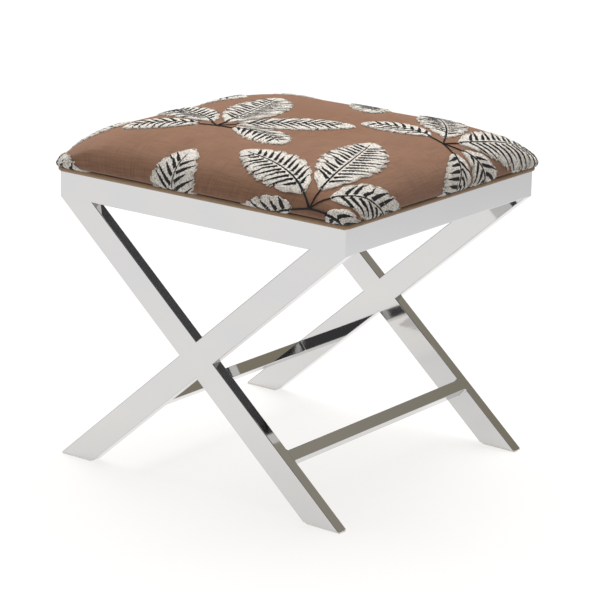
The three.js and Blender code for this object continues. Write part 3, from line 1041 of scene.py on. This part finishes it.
def lay_leaves(drape, ivory_pile, black_pile):
    """Sprays of five leaves, every second column half a repeat further on."""
    ivory, black = Tufting(drape), Tufting(drape)
    seed = 0
    for column in range(-1, 4):
        for row in range(-1, 3):
            x = FIRST_X + column * REPEAT_X
            y = FIRST_Y + row * REPEAT_Y + (REPEAT_Y / 2 if column % 2 else 0)
            tilt = math.radians(12 if (column + row) % 2 == 0 else -14)
            for turn, length, width, bend in SPRAY:
                seed += 1
                heading = math.pi / 2 + math.radians(turn) + tilt
                length *= (1 + 0.05 * math.sin(seed * 2.3)) * MM
                foot = (x + STEM * math.cos(heading), y + STEM * math.sin(heading))
                leaf = Leaf(foot, heading, length, width * MM, bend, seed)
                middle = leaf.flat(0.5, 0)
                if drape.share(*middle) > 1.25 or drape.share(*foot) > 1.5:
                    continue
                shown = [drape.share(*leaf.flat(i / 10, j / 2 - 1)) < DRAPE_LIMIT
                         for i in range(11) for j in range(5)]
                if sum(shown) < LEAST_SHOWN * len(shown):
                    continue
                lay_pile(ivory, leaf)
                lay_strands(ivory, leaf)
                lay_veins(black, leaf)
                black.strip([(x + (foot[0] - x) * k / 8, y + (foot[1] - y) * k / 8,
                              STEM_WIDTH, STEM_LIFT) for k in range(10)])
    ivory.piece("tufted_leaves", ivory_pile, "ivory_pile")
    black.piece("leaf_veins", black_pile, "black_pile")


# The welt and the cloth under the deck

def welt_path():
    """Places along the cord in even steps, from its seam round to the seam again."""
    path = round_corners(
        HALF_WIDTH + WELT_REACH, HALF_DEPTH + WELT_REACH, WELT_CORNER, WELT_CORNER_STEPS)
    even = []
    for i, (x, y, _, _) in enumerate(path):
        nx, ny, _, _ = path[(i + 1) % len(path)]
        steps = max(int(math.hypot(nx - x, ny - y) / WELT_STEP), 1)
        even += [(x + (nx - x) * k / steps, y + (ny - y) * k / steps) for k in range(steps)]
    seam = min((abs(y - WELT_SEAM), k) for k, (x, y) in enumerate(even) if x > 0)[1]
    x, y = even[seam]
    return [(x, y), (x, y + SEAM_WIDTH), *even[seam + 1:], *even[:seam], (x, y - SEAM_WIDTH)]


def add_welt(material):
    """A cloth covered cord on its stapling tape, with its ends butted on the right side."""
    points, places = [], []
    path = welt_path()
    middle = RAIL_TOP + CORD_RADIUS
    travelled = 0
    for i, (x, y) in enumerate(path):
        bx, by = path[i - 1]
        ax, ay = path[(i + 1) % len(path)]
        run = Vector((ax - bx, ay - by)).normalized()
        uneven = WELT_UNEVEN * noise.noise(Vector((travelled * 45, 0, 7)))
        radius = CORD_RADIUS - WELT_EASE + uneven - (SEAM_NOTCH if i == 0 else 0)
        rise = WELT_RISE * noise.noise(Vector((travelled * 18, 4, 1)))
        for k in range(WELT_AROUND):
            angle = 2 * math.pi * k / WELT_AROUND
            reach = math.cos(angle) * radius
            z = middle + math.sin(angle) * radius
            z = max(z + (rise if z > middle else 0), RAIL_TOP + WELT_LIFT)
            points.append((x + run.y * reach, y - run.x * reach, z))
            places.append((travelled, k / WELT_AROUND * 2 * math.pi * CORD_RADIUS))
        travelled += math.hypot(ax - x, ay - y)
    outside = rounded_ring(HALF_WIDTH, HALF_DEPTH, WELT_CORNER - WELT_REACH, 0)
    inside = rounded_ring(HALF_WIDTH - TAPE_INSIDE, HALF_DEPTH - TAPE_INSIDE, FOOT_CORNER, 0)
    low, high = RAIL_TOP + TAPE_LIFT, RAIL_TOP + TAPE_THICK
    tape = [(outside, low), (outside, high), (inside, high), (inside, low)]
    faces = ring_faces(0, len(path), WELT_AROUND, closed=True)
    faces += ring_faces(len(points), len(tape), len(outside), closed=True)
    for ring, z in tape:
        for point in ring:
            points.append((point.x, point.y, z))
            places.append((point.x, point.y))
    piece = mesh_piece("welt_cord", points, faces, material)
    cloth_map(piece, places)
    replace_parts(piece, "welt")


def add_dust_cover(material):
    """Thin cloth stretched under the deck and stapled to it along its edges."""
    low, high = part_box("dust_cover")
    columns, rows = DUST_GRID
    points = []
    for level in (low.z + DUST_LOW, low.z + DUST_HIGH):
        for i in range(columns):
            for j in range(rows):
                u, v = i / (columns - 1), j / (rows - 1)
                x = low.x + (high.x - low.x) * u
                y = low.y + (high.y - low.y) * v
                free = min(max(min(u, 1 - u, v, 1 - v) - 0.05, 0) / 0.1, 1)
                wave = noise.noise(Vector((x * 16, y * 16, 2))) * free
                points.append((x, y, level + DUST_WAVE * wave))
    top = columns * rows
    faces = [(a, d, c, b) for a, b, c, d in grid_faces(0, columns, rows)]
    faces += grid_faces(top, columns, rows)
    rim = ([i * rows for i in range(columns)]
           + [(columns - 1) * rows + j for j in range(1, rows)]
           + [i * rows + rows - 1 for i in range(columns - 2, -1, -1)]
           + list(range(rows - 2, 0, -1)))
    faces += [(a, b, top + b, top + a) for a, b in zip(rim, rim[1:] + rim[:1])]
    piece = mesh_piece("dust_cover_cloth", points, faces, material)
    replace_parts(piece, "dust_cover")


# The stage

def add_camera():
    data = bpy.data.cameras.new("camera")
    data.lens = LENS
    data.sensor_width = SENSOR
    data.clip_start, data.clip_end = CLIP
    camera = linked("camera", data)
    level = math.cos(CAMERA_ELEVATION)
    look = Vector((-math.sin(CAMERA_AZIMUTH) * level, math.cos(CAMERA_AZIMUTH) * level,
                   -math.sin(CAMERA_ELEVATION)))
    flat = look.cross(Vector((0, 0, 1))).normalized()
    right = Matrix.Rotation(-CAMERA_ROLL, 3, look) @ flat
    up = right.cross(look)
    turn = Matrix((right, up, -look)).transposed().to_4x4()
    camera.matrix_world = Matrix.Translation(CAMERA_PLACE) @ turn
    bpy.context.scene.camera = camera


def add_floor():
    mesh = bpy.data.meshes.new("floor")
    corners = ((-1, -1), (1, -1), (1, 1), (-1, 1))
    mesh.from_pydata([(x * FLOOR_HALF, y * FLOOR_HALF, 0) for x, y in corners], [], [(0, 1, 2, 3)])
    shader = Shader("floor", (0.15, 0.15, 0.15), 0.9)
    place = shader.place()
    length = shader.node("ShaderNodeVectorMath", {"operation": "LENGTH"}, {0: place})
    # Painted warm light: the glow turns warmer within about a metre of the stool
    warm_light_mask = shader.smooth(length.outputs["Value"], 1.3, 0.3)
    # Painted shade: beyond a metre off towards +X and +Y the glow fades to a dimmer, cooler colour
    shade_sweep = shader.node("ShaderNodeVectorMath", {"operation": "DOT_PRODUCT"},
                        {0: place, 1: FLOOR_SHADE_WAY})
    painted_shade_mask = shader.smooth(shade_sweep.outputs["Value"], 1.0, 2.2)
    painted_warm_floor = shader.mix(warm_light_mask, FLOOR_FAR, FLOOR_PAINTED_WARM_LIGHT)
    level = shader.mix(painted_shade_mask, painted_warm_floor, FLOOR_PAINTED_SHADE)
    shader.link(level, "Emission Color")
    shader.set("Emission Strength", 1.0)
    # Seen from below, the floor lets the view through
    tree = shader.tree
    clear = shader.node("ShaderNodeBsdfTransparent")
    side = shader.node("ShaderNodeNewGeometry")
    both = shader.node("ShaderNodeMixShader", inputs={0: side.outputs["Backfacing"]})
    tree.links.new(shader.principled.outputs[0], both.inputs[1])
    tree.links.new(clear.outputs[0], both.inputs[2])
    tree.links.new(both.outputs[0], tree.nodes["Material Output"].inputs["Surface"])
    mesh.materials.append(shader.material)
    floor = linked("floor", mesh)


def add_light():
    """A wide soft key from above and behind, a weak fill from the front, and a room that is pale
    grey with an olive band, but dark in front and higher up."""
    for name, energy, angle, turn in (("key", KEY_ENERGY, KEY_ANGLE, KEY_TURN),
                                      ("fill", FILL_ENERGY, FILL_ANGLE, FILL_TURN)):
        sun = bpy.data.lights.new(name, "SUN")
        sun.energy = energy
        sun.angle = angle
        lamp = linked(name, sun)
        lamp.rotation_euler = turn
        # The steel mirrors the room only
        lamp.visible_glossy = False
    world = bpy.data.worlds.new("studio")
    bpy.context.scene.world = world
    world.use_nodes = True
    nodes = Nodes(world.node_tree)
    way = nodes.node("ShaderNodeSeparateXYZ", inputs={0: nodes.place("Generated")}).outputs
    room = nodes.node("ShaderNodeValToRGB", inputs={"Fac": way["Z"]})
    stops = room.color_ramp.elements
    while len(stops) < len(ROOM_STOPS):
        stops.new(1.0)
    for stop, (position, colour) in zip(stops, ROOM_STOPS):
        stop.position = position
        stop.color = (*colour, 1)
    dark = nodes.math("MULTIPLY", nodes.smooth(way["Y"], 0.1, -0.4),
                      nodes.smooth(way["Z"], 0.3, 0.5))
    colour = nodes.mix(dark, room.outputs["Color"], ROOM_DARK)
    nodes.tree.links.new(colour, nodes.tree.nodes["Background"].inputs["Color"])


# Plates, fasteners and glides

def rim_corner(axis, turn, radius, z, hexed=False):
    """A place on a turned piece's ring, with its turn. A hexagon's flats are radius away."""
    reach = radius / math.cos(turn % (math.pi / 3) - math.pi / 6) if hexed else radius
    return Vector((axis.x + reach * math.cos(turn), axis.y + reach * math.sin(turn), z)), turn


def turned(name, node, profile, material):
    """A turned piece round a node's axis. Its profile runs from the bottom round the outside, as
    (radius, height), with True after them where the ring is a hexagon."""
    low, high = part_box(node)
    axis = (low + high) / 2
    built = Builder()
    for ring, following in zip(profile, profile[1:]):
        (radius, z, *hexed), (next_radius, next_z, *_) = ring, following
        out = Vector((next_z - z, 0, radius - next_radius)).normalized()
        for k in range(TURNED_STEPS):
            turns = [2 * math.pi * (k + side) / TURNED_STEPS for side in (0, 1)]
            corners = [rim_corner(axis, turn, *ring) for turn in turns]
            corners += [rim_corner(axis, turn, *following) for turn in reversed(turns)]
            if radius == 0:
                corners.pop(1)
            elif next_radius == 0:
                corners.pop(3)
            first, second, last = (corners[i][0] for i in (0, 1, -1))
            flat = (second - first).cross(last - first).normalized()
            built.add([(place, flat if hexed else
                        Vector((out.x * math.cos(turn), out.x * math.sin(turn), out.z)))
                       for place, turn in corners])
    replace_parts(built.piece(name, material, "zinc_steel"), node)


def add_screw(corner, material):
    """A button head with a hexagonal socket, under its washer."""
    node, washer = f"seat_screw_{corner}", f"seat_washer_{corner}"
    low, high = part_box(node)
    washer_low, washer_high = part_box(washer)
    radius = (high.x - low.x) / 2
    seat = washer_low.z
    profile = [
        (0, low.z + SOCKET_DEPTH),
        (SOCKET_RADIUS, low.z + SOCKET_DEPTH, True),
        (SOCKET_RADIUS, low.z, True),
        (radius * HEAD_FLAT_SHARE, low.z),
    ]
    for angle in quarter_turn(DOME_STEPS)[1:]:
        out = HEAD_FLAT_SHARE + (1 - HEAD_FLAT_SHARE) * math.sin(angle)
        profile.append((radius * out, seat - (seat - low.z) * math.cos(angle)))
    profile += [
        (SCREW_RADIUS, seat),
        (SCREW_RADIUS, high.z - CHAMFER),
        (SCREW_RADIUS - CHAMFER, high.z),
        (0, high.z),
    ]
    turned(f"button_head_screw_{corner}", node, profile, material)
    rim = (washer_high.x - washer_low.x) / 2
    turned(f"plain_washer_{corner}", washer, [
        (WASHER_HOLE, seat),
        (rim - CHAMFER, seat),
        (rim, seat + CHAMFER),
        (rim, washer_high.z - CHAMFER),
        (rim - CHAMFER, washer_high.z),
        (WASHER_HOLE, washer_high.z),
        (WASHER_HOLE, seat),
    ], material)


def bevelled(name, node, width, material):
    """A hard piece with its solid's form and small round edges."""
    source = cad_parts[node]
    edit = bmesh.new()
    edit.from_mesh(source.data)
    edit.transform(source.matrix_world)
    bmesh.ops.remove_doubles(edit, verts=edit.verts, dist=1e-6)
    bmesh.ops.dissolve_limit(edit, angle_limit=math.radians(1), verts=edit.verts, edges=edit.edges)
    mesh = bpy.data.meshes.new(name)
    edit.to_mesh(mesh)
    edit.free()
    mesh.materials.append(material)
    piece = linked(name, mesh)
    bevel = piece.modifiers.new("bevel", "BEVEL")
    bevel.width = width
    bevel.segments = 2
    bevel.angle_limit = math.radians(30)
    apply_modifiers(piece)
    piece.data.polygons.foreach_set("use_smooth", [True] * len(piece.data.polygons))
    piece.data.set_sharp_from_angle(angle=math.radians(28))
    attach(piece, "root")
    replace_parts(piece, node)


def add_plate_welds(corner, hand_x, hand_y, material):
    """Two rippled beads under a corner plate, one along each rail."""
    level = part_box(f"corner_plate_{corner}")[0].z
    built = Builder()
    steps = int((PLATE_SIDE - 2 * BEAD_END) / BEAD_PITCH * 4)
    for along_x in (True, False):
        def place(run, off, down):
            x, y = (run, off) if along_x else (off, run)
            return Vector((hand_x * (INNER_WIDTH - x), hand_y * (INNER_DEPTH - y), level - down))

        side = Vector((0, -hand_y, 0)) if along_x else Vector((-hand_x, 0, 0))
        rings = []
        for i in range(steps + 1):
            run = BEAD_END + (PLATE_SIDE - 2 * BEAD_END) * i / steps
            ripple = abs(math.sin(math.pi * run / BEAD_PITCH))
            fade = min(i, steps - i, 4) / 4
            radius = (BEAD_RADIUS + BEAD_RIPPLE * (ripple - 0.5)) * max(fade, 0.1) ** 0.5
            ring = [(place(run, radius * math.cos(angle), radius * math.sin(angle)),
                     side * math.cos(angle) - Vector((0, 0, math.sin(angle))))
                    for angle in quarter_turn(BEAD_STEPS)]
            ring.append((place(run, 0, 0), ring[-1][1]))
            if (hand_x * hand_y > 0) != along_x:
                ring.reverse()
            rings.append(ring)
        for ring, following in zip(rings, rings[1:]):
            built.strip(ring, following)
        built.add(rings[0])
        built.add(list(reversed(rings[-1])))
    built.piece(f"plate_welds_{corner}", material, "polished_steel")


def add_fixings():
    """Plates, fasteners and glides at the four corners."""
    raw = spotted_metal(
        "raw_steel", (0.07, 0.07, 0.075), (0.17, 0.165, 0.16), 160.0, 4.0, 0.42, 0.6)
    zinc = spotted_metal("zinc_steel", (0.42, 0.43, 0.46), (0.6, 0.6, 0.6), 420.0, 3.0, 0.26, 0.42)
    nylon = pale_nylon()
    for name_y, hand_y in (("front", -1), ("rear", 1)):
        for name_x, hand_x in (("left", -1), ("right", 1)):
            corner = f"{name_y}_{name_x}"
            bevelled(f"welded_plate_{corner}", f"corner_plate_{corner}", PLATE_BEVEL, raw)
            add_plate_welds(corner, hand_x, hand_y, raw)
            add_screw(corner, zinc)
            bevelled(f"glide_{corner}", f"foot_glide_{corner}", GLIDE_BEVEL, nylon)
            coat(f"tee_nut_{corner}", zinc)


def coat(name, material):
    """Gives a solid that is shown as it is its material."""
    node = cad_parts[name]
    node.data.materials.clear()
    node.data.materials.append(material)


def add_frame(steel):
    for prefix, turned_round in (("front", False), ("rear", True)):
        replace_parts(x_frame(f"{prefix}_x_frame", steel, turned_round),
                    f"{prefix}_top_rail", f"{prefix}_long_leg",
                    f"{prefix}_upper_half_leg", f"{prefix}_lower_half_leg")
    for name, hand in (("left", -1), ("right", 1)):
        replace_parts(end_rail(f"{name}_end_rail_tube", hand, steel), f"{name}_end_rail")
        low_bar = stretcher(f"{name}_stretcher_bar", hand, f"{name}_stretcher", steel)
        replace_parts(low_bar, f"{name}_stretcher")


add_camera()
add_floor()
add_light()
add_frame(polished_steel())
linen = woven("brown_linen", (0.117, 0.054, 0.028), (0.240, 0.119, 0.066), 0.8 * MM, sheen=0.16)
welt_linen = woven("welt_linen", (0.19, 0.12, 0.066), (0.37, 0.235, 0.135), 0.6 * MM)
black_cloth = woven("black_cloth", (0.03, 0.03, 0.034), (0.07, 0.07, 0.078), 0.5 * MM, "Object")
# Each pile's darker colour is the painted shade between its loops
ivory_pile = tufted("ivory_pile", (0.33, 0.30, 0.265), (0.71, 0.675, 0.62), 0.2)
black_pile = tufted("black_pile", (0.007, 0.007, 0.008), (0.016, 0.016, 0.019), 0.0)
cushion = seat_cushion(linen)
drape = Drape(cushion)
drape.unwrap(cushion)
lay_leaves(drape, ivory_pile, black_pile)
add_welt(welt_linen)
add_dust_cover(black_cloth)
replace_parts(cushion, "seat_cover", "seat_wadding", "seat_foam")

add_fixings()
coat("seat_deck", plywood())

bpy.context.scene.view_settings.view_transform = "Standard"
